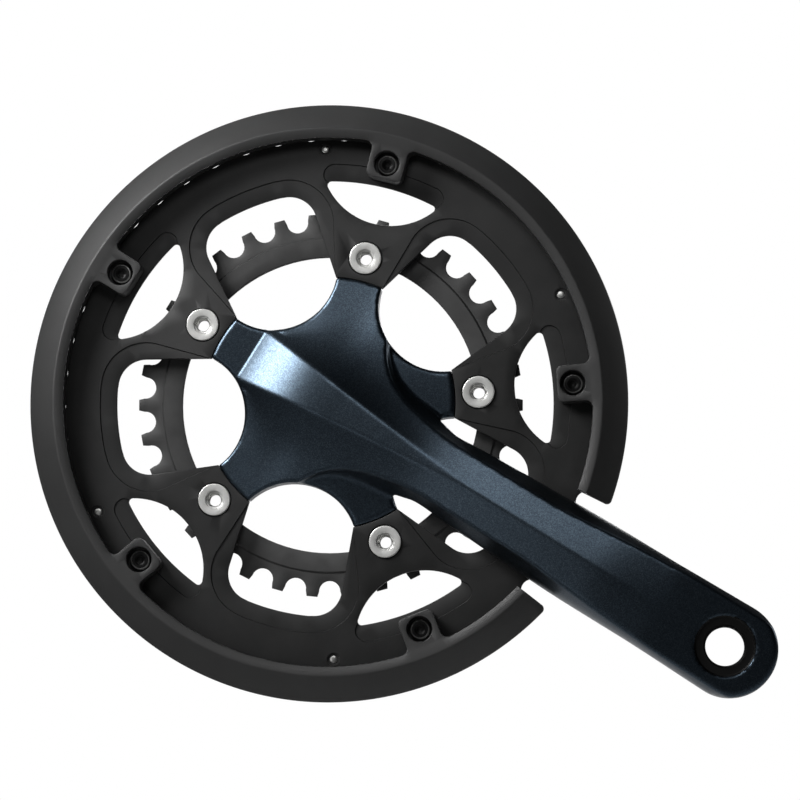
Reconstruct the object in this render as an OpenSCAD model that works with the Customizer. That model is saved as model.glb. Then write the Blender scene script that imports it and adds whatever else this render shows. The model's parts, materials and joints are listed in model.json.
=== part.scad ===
// Five-arm compact double crankset, drive side, with its spindle and its threaded bottom bracket.
// Y is the spindle axis, with the drive side at -Y. X is forward and Z is up.
// The origin is on the spindle axis, in the middle of the frame's bottom bracket shell.

/* [Crank arm] */
// Distance from the spindle axis to the pedal axis
crank_length = 170; // [160:2.5:180]
// Direction of the arm at rest, seen from the drive side
arm_angle = -32; // [-180:1:180]
// Width of the arm along its middle
arm_width = 33.5; // [30:0.5:34]
// Radius of the rounded pedal end
pedal_end_r = 17.5; // [17:0.5:20]
// How far the middle of that rounding lies beyond the pedal axis
pedal_end_offset = 2; // [0:0.5:3]
// Thickness of the pedal end
pedal_end_t = 12; // [10:0.5:13]
// Outer face of the pedal end, from the frame's centre plane
pedal_face = 72; // [70:0.5:76]
// Diameter of the pedal thread
pedal_thread_d = 14.29; // [12:0.01:15]
// Diameter of the turned recess around the pedal hole
pedal_recess_d = 21.4; // [18:0.2:26]
// Depth of that recess
pedal_recess_t = 0.8; // [0.4:0.1:1.5]

/* [Spider] */
// Diameter of the chainring bolt circle
bolt_circle_d = 110; // [108:1:112]
// Radius at which the spider's raised arms end against the big chainring
spider_r = 46.4; // [44:0.2:46.4]
// Radius of each round opening between the spider arms
opening_r = 23.5; // [20:0.5:24]
// Distance from the spindle axis to the middle of each opening
opening_at = 54.5; // [54:0.5:60]
// Width of the tab between the two chainrings
tab_w = 16; // [14:0.5:17]
// Radius of the flat inner face of the hub
hub_flat_r = 24; // [20:0.5:26]
// Outer face of the hub, from the frame's centre plane
hub_face = 61.5; // [60:0.5:64]

/* [Chainrings] */
// Teeth on the big chainring
big_teeth = 50; // [50:1:52]
// Teeth on the small chainring
small_teeth = 34; // [34:1:36]
// Chain pitch
chain_pitch = 12.7; // [12.7:0.1:12.7]
// Diameter of the chain's rollers, with running room
roller_d = 7.92; // [7.8:0.02:8.1]
// Thickness of the teeth
tooth_t = 2; // [1.8:0.1:2.2]
// Middle of the small chainring's teeth, from the frame's centre plane
small_tooth_plane = 39.4; // [39:0.1:40]
// Middle of the big chainring's teeth, from the frame's centre plane
big_tooth_plane = 46.6; // [46:0.1:47]
// Radius of the small chainring's inner edge between its tabs
small_inner_r = 54.7; // [53:0.1:56]
// Outer radius of the big chainring's five large openings
petal_r = 78.3; // [77:0.1:79]
// Outer radius of the big chainring's five small windows
window_r = 82.3; // [81:0.1:83]
// Radius inside which the big chainring rises towards its bolts
fold_r = 73; // [72:0.5:75]
// Height of that rise at the spider
fold_rise = 1.6; // [1:0.1:2]

/* [Chainring fasteners] */
// Diameter of the bolt heads
bolt_head_d = 11.8; // [11:0.1:12.2]
// Thickness of the bolt heads
bolt_head_t = 2; // [1.6:0.1:2.2]
// Diameter of the bolt thread
bolt_d = 8; // [8:0.5:8]
// Diameter of the sleeve of each nut
sleeve_d = 10; // [10:0.1:10.2]
// Diameter of the flange of each nut
nut_flange_d = 13; // [12:0.1:14]
// Hex key size of the bolts
bolt_key = 5; // [4:1:5]

/* [Chain guard] */
// Outside diameter of the guard
guard_d = 219.5; // [216:0.5:222]
// Inside diameter of the guard's rim
guard_inner_d = 193.6; // [192:0.2:194]
// Diameter at which the outer bevel starts
guard_bevel_d = 201; // [199:0.5:204]
// Back of the rim, clear of the chain, from the frame's centre plane
guard_back = 51; // [50.6:0.1:51.4]
// Front of the rim, from the frame's centre plane
guard_front = 60; // [58:0.5:61]
// Width of the gap that the crank arm passes through
guard_gap_w = 42.4; // [41:0.2:46]
// Diameter of the guard's screw circle
guard_screw_circle_d = 179.5; // [178:0.5:181]
// Width of each screw lug
lug_w = 13.5; // [12:0.5:15]
// Inner end of each screw lug, from the spindle axis
lug_inner_r = 84; // [83.5:0.1:84.5]

/* [Spindle and bottom bracket] */
// Diameter of the spindle
spindle_d = 24; // [24:0.1:24]
// Bore of the hollow spindle
spindle_bore_d = 19.4; // [17:0.1:20]
// Width of the frame's bottom bracket shell
shell_w = 68; // [68:1:70]
// Diameter of the cup thread in the shell
cup_thread_d = 34.8; // [34.8:0.1:34.8]
// Length of the cup thread in the shell
cup_thread_l = 13; // [11:0.5:14]
// Diameter of the cup flange
cup_d = 44; // [42:0.5:45]
// Thickness of the cup flange outside the shell
cup_flange_t = 10.5; // [10.5:0.1:10.6]

/* [Bearings] */
// Outside diameter of each bearing
bearing_d = 37; // [37:0.1:37]
// Bore of each bearing
bearing_bore_d = 25; // [25:0.1:25]
// Width of each bearing
bearing_w = 7; // [7:0.1:7]
// Diameter of the balls
ball_d = 3.5; // [3.4:0.05:3.5]
// Balls in each bearing
ball_count = 19; // [15:1:20]
// Room all round a ball in its track and in its cage
ball_room = 0.05; // [0.03:0.01:0.08]

/* [Hidden] */
$fn = 96;
eps = 0.01;

// Angles about the spindle, measured from the crank arm
arm_count = 5;
step = 360 / arm_count;
bolt_angles = [for (i = [0:arm_count - 1]) step / 2 + i * step];
opening_angles = [for (i = [0:arm_count - 1]) i * step];
shift_pin_angles = [57, 123, 237, 303];

// Chainrings, along the spindle
bolt_circle_r = bolt_circle_d / 2;
big_back = big_tooth_plane - 1.6;
big_front = big_tooth_plane + 1.2;
tab_front = big_front + fold_rise * (fold_r - bolt_circle_r) / (fold_r - spider_r);
small_back = small_tooth_plane - 1.6;
small_front = small_tooth_plane + 1.7;
big_body_r = 96.4;
big_chamfer_r = 94.6;
big_chamfer = 0.2;
small_step_r = 61.5;
tip_height = 1.9;
bolt_face = tab_front + 0.7;
head_seat = bolt_face - bolt_head_t;
head_recess_d = bolt_head_d + 0.6;
nut_seat = small_back + 1.2;
nut_end = head_seat - 1.2;
shift_pin_at = 93.9;
shift_pin_r = 1.4;
shift_recess_r = 2.4;
catch_pin_at = 88;
catch_pin_r = 2.5;
catch_pin_end = 52.6;

// Crank arm, along the spindle
arm_clear = 53.8;
hub_back = shell_w / 2 + cup_flange_t + 0.9;
spindle_seat_l = 12;
spindle_right = hub_back + spindle_seat_l;
spindle_left = -(shell_w / 2 + cup_flange_t + 21);
spline_l = 18;
spline_d = spindle_d - 0.4;
spline_count = 16;

// Chain guard
guard_thickness = 2.4;
guard_edge_t = 1.6;
lug_corner_r = 2.5;
lug_recess_r = 4.6;
lug_floor = 52.2;
screw_r = 2;
screw_head_r = 3.6;
screw_head_t = 2.6;
screw_key = 2.5;

// Bottom bracket
cup_bore_r = 15.5;
cup_notches = 16;
notch_r = 1.7;
sleeve_r = 14.8;
sleeve_wall = 1.1;
sleeve_l = 50;
o_ring_r = 0.6;
o_ring_at = 21;
groove_t = 0.5;
bearing_in = shell_w / 2 + 2.6;
bearing_mid = bearing_in + bearing_w / 2;
bearing_out = bearing_in + bearing_w;
ball_track_r = (bearing_d + bearing_bore_d) / 4;
shoulder = 1.1;
inner_shoulder_r = ball_track_r - shoulder;
outer_shoulder_r = ball_track_r + shoulder;
seal_t = 0.6;
seal_inset = 0.3;
seal_room = 0.08;
cage_t = 0.9;
cage_w = 4.6;
bush_flange_r = 17.6;
bush_gap = 0.4;

// Drawn from the drive side: x to the right, y up and z out of the page
module from_side() {
    rotate([90, 0, 0]) children();
}

// The same, turned so that x runs along the crank arm
module from_arm() {
    from_side() rotate(arm_angle) children();
}

module slab(z0, z1) {
    translate([0, 0, z0]) linear_extrude(z1 - z0) children();
}

module bar(r, z0, z1) {
    translate([0, 0, z0]) cylinder(r = r, h = z1 - z0);
}

module tube(r_out, r_in, z0, z1) {
    rotate_extrude() translate([r_in, z0]) square([r_out - r_in, z1 - z0]);
}

module around(angles, at) {
    for (a = angles) rotate(a) translate([at, 0, 0]) children();
}

module hex_bar(key, z0, z1) {
    translate([0, 0, z0]) cylinder(r = key / sqrt(3), h = z1 - z0, $fn = 6);
}

// ---- crank arm and spider ----

module spider_outline() {
    difference() {
        circle(spider_r);
        for (a = opening_angles) rotate(a) translate([opening_at, 0]) circle(opening_r);
    }
}

module spider_dome() {
    rotate_extrude() polygon([
        [0, hub_back], [hub_flat_r, hub_back], [hub_flat_r + 4.5, small_front], [spider_r, small_front],
        [spider_r, big_front + fold_rise + 0.2], [38, big_front + 4.2], [27, hub_face - 3],
        [18, hub_face], [0, hub_face]
    ]);
}

module spider_tab() {
    slab(small_front, big_back) {
        translate([36, -tab_w / 2]) square([bolt_circle_r - 36, tab_w]);
        translate([bolt_circle_r, 0]) circle(tab_w / 2);
    }
}

// Side view of the arm: x along it, y outward along the spindle
module arm_side_view() {
    polygon([
        [-34, big_front + 4.4], [-8, hub_face - 1.5], [38, hub_face + 1], [120, pedal_face - 1.5],
        [150, pedal_face], [200, pedal_face], [200, pedal_face - pedal_end_t],
        [150, pedal_face - pedal_end_t], [112, arm_clear + 1], [96, arm_clear], [44, arm_clear],
        [34, hub_back + 2], [-20, hub_back + 2]
    ]);
}

module arm_outline() {
    polygon([
        [-34, -10], [8, -arm_width / 2], [crank_length, -arm_width / 2],
        [crank_length, arm_width / 2], [8, arm_width / 2], [-34, 10]
    ]);
    translate([crank_length + pedal_end_offset, 0]) circle(pedal_end_r);
}

// Takes one long edge off the arm's outer face, wide near the hub and running out at the pedal end
module edge_bevel() {
    translate([60, arm_width / 2, hub_face - 4]) rotate([0, -7.5, 0]) rotate([0, 0, 2.6])
        rotate([-35, 0, 0]) translate([-90, -20, 0]) cube([175, 60, 40]);
}

module arm_bar() {
    difference() {
        intersection() {
            slab(40, 90) arm_outline();
            rotate([90, 0, 0]) translate([0, 0, -40]) linear_extrude(80) arm_side_view();
        }
        edge_bevel();
        mirror([0, 1, 0]) edge_bevel();
    }
}

module crank_arm() {
    color("#25303b") from_arm() difference() {
        union() {
            intersection() {
                slab(small_front - 1, hub_face + 1) spider_outline();
                spider_dome();
            }
            for (a = bolt_angles) rotate(a) spider_tab();
            arm_bar();
        }
        bar(spindle_d / 2, hub_back - 1, spindle_right);
        translate([crank_length, 0, 0]) {
            bar(pedal_thread_d / 2, 50, 80);
            bar(pedal_recess_d / 2, pedal_face - pedal_recess_t, 80);
        }
        around(bolt_angles, bolt_circle_r) bar(sleeve_d / 2, small_front - 1, big_back + 1);
    }
}

module spindle() {
    groove_w = 1;
    groove_t = 0.6;
    color("#9aa0a4") from_arm() difference() {
        union() {
            bar(spindle_d / 2, spindle_left + spline_l, spindle_right);
            bar(spline_d / 2, spindle_left, spindle_left + spline_l);
        }
        bar(spindle_bore_d / 2, spindle_left - 1, spindle_right - 3);
        for (i = [0:spline_count - 1]) rotate((i + 0.5) * 360 / spline_count)
            translate([spline_d / 2 - groove_t, -groove_w / 2, spindle_left - 1])
                cube([2, groove_w, spline_l + 0.5]);
    }
}

// ---- chainrings ----

function pitch_r(teeth) = chain_pitch / 2 / sin(180 / teeth);

module toothed_disc(teeth) {
    pr = pitch_r(teeth);
    rr = roller_d / 2;
    difference() {
        circle(pr + tip_height, $fn = 2 * teeth);
        for (i = [0:teeth - 1]) rotate((i + 0.5) * 360 / teeth) translate([pr, 0]) {
            circle(rr, $fn = 32);
            polygon([[0, -rr], [4, -rr - 1.3], [4, rr + 1.3], [0, rr]]);
        }
    }
}

// Large opening of the big chainring, between two of its bolt tabs
module petal() {
    corner_r = 10.3;
    corner = [67, 11];
    intersection() {
        circle(petal_r);
        union() {
            polygon([[30, -18.8], [corner[0], -21.3], [corner[0], 21.3], [30, 18.8]]);
            translate([30, -corner[1]]) square([60, 2 * corner[1]]);
            for (s = [-1, 1]) translate([corner[0], s * corner[1]]) circle(corner_r);
        }
    }
}

// Small window of the big chainring, outside a bolt: two arcs with rounded ends
module bolt_window() {
    arc_r = 26;
    arc_at = window_r + 11.9;
    round_r = 1.5;
    a = window_r - round_r;
    b = arc_r - round_r;
    x = (a * a - b * b + arc_at * arc_at) / (2 * arc_at);
    y = sqrt(a * a - x * x);
    outer = [x, y] * window_r / a;
    inner = [arc_at, 0] + [x - arc_at, y] * arc_r / b;
    intersection() {
        circle(window_r);
        translate([arc_at, 0]) circle(arc_r);
        polygon([
            [60, -inner[1]], [inner[0], -inner[1]], [outer[0], -outer[1]], [90, -outer[1]],
            [90, outer[1]], [outer[0], outer[1]], [inner[0], inner[1]], [60, inner[1]]
        ]);
    }
    for (s = [-1, 1]) translate([x, s * y]) circle(round_r, $fn = 32);
}

// Half section of the big chainring's body: a flat rim, and a shallow cone up to the spider
module big_body_profile() {
    polygon([
        [spider_r - 1, big_back], [big_body_r, big_back], [big_body_r, big_front - big_chamfer],
        [big_chamfer_r, big_front], [fold_r, big_front], [spider_r, big_front + fold_rise],
        [spider_r - 1, big_front + fold_rise]
    ]);
}

module big_chainring() {
    color("#232323") from_arm() difference() {
        union() {
            slab(big_tooth_plane - tooth_t / 2, big_tooth_plane + tooth_t / 2) difference() {
                toothed_disc(big_teeth);
                circle(big_chamfer_r);
            }
            rotate_extrude() big_body_profile();
        }
        slab(big_back - 1, big_front + fold_rise + 1) {
            circle(spider_r + 0.1);
            for (a = opening_angles) rotate(a) petal();
            for (a = bolt_angles) rotate(a) bolt_window();
        }
        around(bolt_angles, bolt_circle_r) {
            bar(sleeve_d / 2, big_back - 1, nut_end);
            bar(bolt_d / 2, nut_end - eps, head_seat + eps);
            bar(head_recess_d / 2, head_seat, bolt_face);
        }
        around(bolt_angles, guard_screw_circle_d / 2) bar(screw_r, big_back - 1, big_front + 1);
        around(shift_pin_angles, shift_pin_at) {
            bar(shift_pin_r, big_back - 1, big_front + 1);
            bar(shift_recess_r, big_front - 0.6, big_front + 1);
        }
        translate([catch_pin_at, 0, 0]) bar(catch_pin_r - 1, big_back - 1, big_front + 1);
    }
}

module small_tab() {
    translate([bolt_circle_r, 0]) circle(9);
    polygon([[bolt_circle_r - 3, -8.5], [small_inner_r + 1, -15], [small_inner_r + 1, 15],
        [bolt_circle_r - 3, 8.5]]);
}

module small_chainring() {
    color("#3c3c3c") from_arm() difference() {
        union() {
            slab(small_tooth_plane - tooth_t / 2, small_tooth_plane + tooth_t / 2) difference() {
                toothed_disc(small_teeth);
                circle(small_inner_r);
            }
            slab(small_back, small_front) {
                difference() {
                    circle(small_step_r);
                    circle(small_inner_r);
                }
                for (a = bolt_angles) rotate(a) small_tab();
            }
        }
        around(bolt_angles, bolt_circle_r) {
            bar(sleeve_d / 2, small_back - 1, small_front + 1);
            bar(nut_flange_d / 2, small_back - 1, nut_seat);
        }
    }
}

module chainring_bolts() {
    color("#c8c8c6") from_arm() around(bolt_angles, bolt_circle_r) difference() {
        union() {
            bar(bolt_head_d / 2, head_seat, bolt_face);
            bar(bolt_d / 2, nut_seat + 1.5, head_seat);
        }
        bar(3.2, bolt_face - 0.9, bolt_face + 1);
        hex_bar(bolt_key, bolt_face - 4, bolt_face);
        bar(2.15, small_back - 1, bolt_face);
    }
}

module chainring_nuts() {
    color("#b4b4b2") from_arm() around(bolt_angles, bolt_circle_r) difference() {
        union() {
            bar(nut_flange_d / 2, small_back, nut_seat);
            bar(sleeve_d / 2, nut_seat, nut_end);
        }
        bar(bolt_d / 2, small_back - 1, nut_end + 1);
    }
}

module shift_pins() {
    color("#d0d0d0") from_arm() around(shift_pin_angles, shift_pin_at)
        bar(shift_pin_r, big_back - 1.3, big_front - 0.2);
}

module chain_catch_pin() {
    color("#c0c0c0") from_arm() translate([catch_pin_at, 0, 0]) {
        bar(catch_pin_r - 1, big_back, big_front);
        bar(catch_pin_r, big_front, catch_pin_end);
    }
}

// ---- chain guard ----

module guard_profile() {
    inner = guard_inner_d / 2;
    bevel = guard_bevel_d / 2;
    outer = guard_d / 2;
    polygon([
        [inner, guard_back], [outer, guard_back], [outer, guard_back + guard_edge_t],
        [bevel, guard_front], [bevel - 0.4, guard_front], [inner, guard_front - 0.6]
    ]);
}

// The channel that leaves the rim a thin shell behind its bevel
module guard_channel() {
    inner = guard_inner_d / 2 + guard_thickness;
    outer = guard_d / 2 - guard_thickness - 0.8;
    polygon([
        [inner, guard_back - 1], [outer, guard_back - 1], [outer, guard_back + 0.3],
        [guard_bevel_d / 2, guard_front - guard_thickness], [inner, guard_front - guard_thickness - 0.4]
    ]);
}

module lug_outline() {
    outer = guard_inner_d / 2 + 2;
    translate([lug_inner_r, -lug_w / 2 + lug_corner_r])
        square([outer - lug_inner_r, lug_w - 2 * lug_corner_r]);
    translate([lug_inner_r + lug_corner_r, -lug_w / 2]) square([outer - lug_inner_r - lug_corner_r, lug_w]);
    for (s = [-1, 1]) translate([lug_inner_r + lug_corner_r, s * (lug_w / 2 - lug_corner_r)])
        circle(lug_corner_r, $fn = 32);
}

// Gap for the crank arm: a slot that flares a little outward, with its mouth rounded
module gap_slot() {
    mouth_r = 1.8;
    mouth_x = guard_d / 2 * cos(asin(guard_gap_w / guard_d)) - mouth_r;
    half = guard_gap_w / 2;
    polygon([[70, -half + 1], [140, -half - 1.4], [140, half + 1.4], [70, half - 1]]);
    for (s = [-1, 1]) translate([mouth_x, s * half]) difference() {
        translate([0, s < 0 ? -mouth_r : -1]) square([8, mouth_r + 1]);
        translate([0, s * (mouth_r + 0.2)]) circle(mouth_r, $fn = 48);
    }
}

module chain_guard() {
    color("#1b1b1b") from_arm() difference() {
        union() {
            difference() {
                rotate_extrude() guard_profile();
                rotate_extrude() guard_channel();
                slab(guard_back - 1, guard_front + 1) gap_slot();
            }
            for (a = bolt_angles) rotate(a) slab(big_front, guard_front - 0.8) lug_outline();
        }
        around(bolt_angles, guard_screw_circle_d / 2) {
            bar(screw_r + 0.2, big_front - 1, lug_floor + eps);
            bar(lug_recess_r, lug_floor, guard_front + 1);
        }
    }
}

module guard_screws() {
    color("#101010") from_arm() around(bolt_angles, guard_screw_circle_d / 2) difference() {
        union() {
            bar(screw_head_r, lug_floor, lug_floor + screw_head_t);
            bar(screw_r, big_back + 0.3, lug_floor);
        }
        hex_bar(screw_key, lug_floor + 0.8, lug_floor + screw_head_t + 1);
    }
}

// ---- bottom bracket ----

module cup() {
    color("#2c2c2e") difference() {
        union() {
            bar(cup_thread_d / 2, shell_w / 2 - cup_thread_l, shell_w / 2);
            bar(cup_d / 2, shell_w / 2, shell_w / 2 + cup_flange_t);
        }
        bar(cup_bore_r, 0, shell_w);
        bar(bearing_d / 2, bearing_in, shell_w);
        around([for (i = [0:cup_notches - 1]) i * 360 / cup_notches], cup_d / 2 + 0.4)
            bar(notch_r, shell_w / 2 + 2.5, shell_w);
    }
}

module outer_race() {
    color("#8c9094") rotate_extrude() difference() {
        translate([outer_shoulder_r, bearing_in]) square([bearing_d / 2 - outer_shoulder_r, bearing_w]);
        translate([ball_track_r, bearing_mid]) circle(ball_d / 2 + ball_room);
    }
}

module inner_race() {
    color("#8c9094") rotate_extrude() difference() {
        translate([bearing_bore_d / 2, bearing_in])
            square([inner_shoulder_r - bearing_bore_d / 2, bearing_w]);
        translate([ball_track_r, bearing_mid]) circle(ball_d / 2 + ball_room);
    }
}

module seals() {
    color("#16181a") for (z = [bearing_in + seal_inset, bearing_out - seal_inset - seal_t])
        tube(outer_shoulder_r, inner_shoulder_r + seal_room, z, z + seal_t);
}

module ball_place() {
    for (i = [0:ball_count - 1]) rotate(i * 360 / ball_count) translate([ball_track_r, 0, bearing_mid])
        children();
}

module balls() {
    color("#c4c8cc") ball_place() sphere(d = ball_d, $fn = 48);
}

module cage() {
    color("#b8a878") difference() {
        tube(ball_track_r + cage_t / 2, ball_track_r - cage_t / 2, bearing_mid - cage_w / 2,
            bearing_mid + cage_w / 2);
        ball_place() rotate([0, 90, 0]) cylinder(r = ball_d / 2 + ball_room, h = 3, center = true);
    }
}

module bush() {
    color("#303236") {
        tube(bearing_bore_d / 2, spindle_d / 2, bearing_in, bearing_out);
        tube(inner_shoulder_r - 0.3, spindle_d / 2, bearing_out, bearing_out + bush_gap);
        tube(bush_flange_r, spindle_d / 2, bearing_out + bush_gap, hub_back);
    }
}

module right_side() {
    from_side() children();
}

module left_side() {
    from_side() mirror([0, 0, 1]) children();
}

module right_cup() right_side() cup();
module left_cup() left_side() cup();
module right_outer_race() right_side() outer_race();
module left_outer_race() left_side() outer_race();
module right_seals() right_side() seals();
module left_seals() left_side() seals();
module right_balls() right_side() balls();
module left_balls() left_side() balls();
module right_cage() right_side() cage();
module left_cage() left_side() cage();
module right_inner_race() right_side() inner_race();
module left_inner_race() left_side() inner_race();
module right_bush() right_side() bush();
module left_bush() left_side() bush();

module centre_sleeve() {
    color("#3a3d40") from_side() difference() {
        tube(sleeve_r, sleeve_r - sleeve_wall, -sleeve_l / 2, sleeve_l / 2);
        for (z = [-o_ring_at, o_ring_at])
            translate([0, 0, z]) tube(sleeve_r + 1, sleeve_r - groove_t, -o_ring_r, o_ring_r);
    }
}

module sleeve_o_rings() {
    color("#101012") from_side() for (z = [-o_ring_at, o_ring_at]) rotate_extrude()
        translate([sleeve_r - groove_t + o_ring_r, z]) circle(o_ring_r, $fn = 24);
}

crank_arm();
spindle();
big_chainring();
small_chainring();
chainring_bolts();
chainring_nuts();
chain_guard();
guard_screws();
shift_pins();
chain_catch_pin();
right_cup();
left_cup();
centre_sleeve();
sleeve_o_rings();
right_outer_race();
left_outer_race();
right_seals();
left_seals();
right_balls();
left_balls();
right_cage();
left_cage();
right_inner_race();
left_inner_race();
right_bush();
left_bush();
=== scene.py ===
import json
import math

import bpy
import numpy as np
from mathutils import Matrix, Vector, geometry


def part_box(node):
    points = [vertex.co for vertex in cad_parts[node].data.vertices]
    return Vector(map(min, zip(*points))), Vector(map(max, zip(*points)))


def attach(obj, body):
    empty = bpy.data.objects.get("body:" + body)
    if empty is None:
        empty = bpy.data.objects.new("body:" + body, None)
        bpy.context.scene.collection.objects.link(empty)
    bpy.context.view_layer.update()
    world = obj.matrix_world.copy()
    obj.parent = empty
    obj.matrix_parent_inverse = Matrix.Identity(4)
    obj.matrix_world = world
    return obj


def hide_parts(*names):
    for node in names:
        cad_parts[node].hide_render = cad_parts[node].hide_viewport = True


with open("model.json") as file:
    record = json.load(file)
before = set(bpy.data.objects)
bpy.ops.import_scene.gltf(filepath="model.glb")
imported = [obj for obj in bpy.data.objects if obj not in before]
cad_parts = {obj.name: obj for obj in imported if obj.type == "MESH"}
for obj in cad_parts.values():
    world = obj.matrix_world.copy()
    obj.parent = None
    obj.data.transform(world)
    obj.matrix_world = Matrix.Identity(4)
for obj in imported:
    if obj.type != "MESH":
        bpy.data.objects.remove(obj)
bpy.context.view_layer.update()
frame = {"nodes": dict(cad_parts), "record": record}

# ---- sizes, in millimetres; z is the distance outward along the spindle ----

record = frame["record"]
nodes = frame["nodes"]


def mount(name):
    return next(m for m in record["mounts"] if m["name"] == name)


def levels(node):
    """Back and front of a node along the spindle."""
    low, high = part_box(node)
    return -1000 * high[1], -1000 * low[1]


pedal_x, _, pedal_z = mount("pedal_thread")["pos_m"]
ARM_ANGLE = math.atan2(pedal_z, pedal_x)
CRANK = 1000 * math.hypot(pedal_x, pedal_z)
PEDAL_THREAD_R = mount("pedal_thread")["dims"]["r_mm"]

ARMS = 5
STEP = 2 * math.pi / ARMS
BOLT_ANGLES = [STEP * (i + 0.5) for i in range(ARMS)]
GAP_ANGLES = [STEP * i for i in range(ARMS)]

ARM_BACK, ARM_FRONT = levels("crank_arm")
BIG_BACK, BIG_TOP = levels("big_chainring")
SMALL_BACK, SMALL_FRONT = levels("small_chainring")
GUARD_LOW, GUARD_FRONT = levels("chain_guard")
BOLT_LOW, BOLT_FACE = levels("chainring_bolts")
NUT_END = levels("chainring_nuts")[1]
SCREW_LOW, SCREW_FACE = levels("guard_screws")
PIN_LOW, PIN_FACE = levels("shift_pins")
SPINDLE_END = levels("spindle")[1]

PITCH = 12.7
ROLLER_R = 3.96
TIP = 1.9
BIG_TEETH = 50
SMALL_TEETH = 34
BOLT_R = 55
SPIDER_R = 46.4
OPENING_R = 23.5
OPENING_AT = 54.5
TAB_HALF = 8
ARM_HALF = 16.75
EYE_R = 17.49
EYE_BEYOND = 2
EYE_AT = CRANK + EYE_BEYOND
EYE_RECESS_R = 10.7
EYE_T = 12
EYE_BACK = ARM_FRONT - EYE_T
SLEEVE_R = 5
SPINDLE_R = 12

RIM_FRONT = GUARD_LOW
BODY_R = 96.4
CHAMFER_R = 94.6
FOLD_R = 73
PETAL_R = 78.3
PETAL_CORNER = (67, 11)
PETAL_CORNER_R = 10.3
WINDOW_R = 82.3
WINDOW_ARC_R = 26
WINDOW_ROUND = 1.5
BORDER = 6.3
BORDER_DROP = 0.55
BOLT_HEAD_T = 2
BOLT_KEY = 5
BOLT_HOLE_R = 4.1
HEAD_SEAT = BOLT_FACE - BOLT_HEAD_T
SMALL_INNER_R = 54.7
SMALL_STEP_R = 61.5

GUARD_R = -1000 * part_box("chain_guard")[0][0] - 0.02
GUARD_INNER_R = 96.8
GUARD_BEVEL_R = 100.5
GUARD_BACK = 51
GUARD_EDGE = 1.6
GUARD_WALL = 2.4
GAP_HALF = 21.2
LUG_HALF = 6.75
LUG_R = 84
LUG_CORNER = 2.5
LUG_FLOOR = 52.2
GAP_MOUTH_R = 1.8
SCREW_AT = 89.75
SCREW_HOLE_R = 2.05
SCREW_KEY = 2.5
PIN_ANGLES = [math.radians(a) for a in (57, 123, 237, 303)]
PIN_AT = 93.9
PIN_HOLE_R = 1.42
CATCH_AT = 88
CATCH_HOLE_R = 1.52

# Shapes are drawn in the crank arm's own frame, with x along it, y across it and z outward
FROM_ARM = np.array([
    [math.cos(ARM_ANGLE), -math.sin(ARM_ANGLE), 0],
    [0, 0, -1],
    [math.sin(ARM_ANGLE), math.cos(ARM_ANGLE), 0],
])


# ---- plane curves ----

def turned(points, angle):
    c, s = math.cos(angle), math.sin(angle)
    points = np.asarray(points, float)
    return points @ np.array([[c, s], [-s, c]])


def arc(centre, radius, start, end, steps):
    """Points from angle start to angle end, in degrees."""
    a = np.radians(np.linspace(start, end, steps + 1))
    return np.stack([centre[0] + radius * np.cos(a), centre[1] + radius * np.sin(a)], 1)


def circle(centre, radius, steps=48):
    return arc(centre, radius, 0, 360, steps)[:-1]


def mirrored(half):
    """Closes a curve that starts and ends on both sides of the x axis."""
    half = np.asarray(half, float)
    return np.concatenate([half, (half * [1, -1])[::-1]])


def area(loop):
    x, y = loop[:, 0], loop[:, 1]
    return 0.5 * float(np.sum(x * np.roll(y, -1) - np.roll(x, -1) * y))


def tidy_loop(loop, gap=0.02):
    """Counter-clockwise, without repeated points."""
    loop = np.asarray(loop, float)
    keep = np.linalg.norm(loop - np.roll(loop, 1, 0), axis=1) > gap
    loop = loop[keep]
    return loop if area(loop) > 0 else loop[::-1]


def offset(loop, distance):
    """Moves a counter-clockwise loop inward by distance, or outward if it is negative."""
    before = loop - np.roll(loop, 1, 0)
    after = np.roll(loop, -1, 0) - loop
    n0 = np.stack([-before[:, 1], before[:, 0]], 1)
    n1 = np.stack([-after[:, 1], after[:, 0]], 1)
    n0 /= np.linalg.norm(n0, axis=1)[:, None]
    n1 /= np.linalg.norm(n1, axis=1)[:, None]
    n = n0 + n1
    n /= np.maximum(np.sum(n * n1, 1), 0.6)[:, None]
    return loop + distance * n


def inside(points, loop):
    """Even-odd test of many points against one loop."""
    x, y = points[:, 0][:, None], points[:, 1][:, None]
    x0, y0 = loop[:, 0], loop[:, 1]
    x1, y1 = np.roll(x0, -1), np.roll(y0, -1)
    rise = np.where(y1 == y0, 1e-9, y1 - y0)
    crosses = ((y0 > y) != (y1 > y)) & (x < (x1 - x0) * (y - y0) / rise + x0)
    return crosses.sum(1) % 2 == 1


def distance_to(points, loop):
    a = loop
    b = np.roll(loop, -1, 0)
    ab = b - a
    out = np.full(len(points), 1e9)
    for start in range(0, len(points), 2000):
        p = points[start:start + 2000, None, :]
        t = np.clip(np.sum((p - a) * ab, 2) / np.maximum(np.sum(ab * ab, 1), 1e-12), 0, 1)
        near = a + t[..., None] * ab
        out[start:start + 2000] = np.linalg.norm(p - near, axis=2).min(1)
    return out


# ---- mesh pieces ----

def make_piece(name, points, faces, paints, body, stands_for=(), sharp=33, choose=None):
    """A mesh in the arm's frame, from millimetres. choose gives each face's material number."""
    mesh = bpy.data.meshes.new(name)
    points = np.asarray(points, float) @ FROM_ARM.T / 1000
    mesh.from_pydata(points.tolist(), [], [list(map(int, f)) for f in faces])
    mesh.update()
    mesh.shade_smooth()
    mesh.set_sharp_from_angle(angle=math.radians(sharp))
    for paint in paints:
        mesh.materials.append(paint)
    if choose is not None:
        mesh.polygons.foreach_set("material_index", np.asarray(choose, np.int32))
    piece = bpy.data.objects.new(name, mesh)
    bpy.context.scene.collection.objects.link(piece)
    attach(piece, body)
    if stands_for:
        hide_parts(*stands_for)
    return piece


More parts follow.
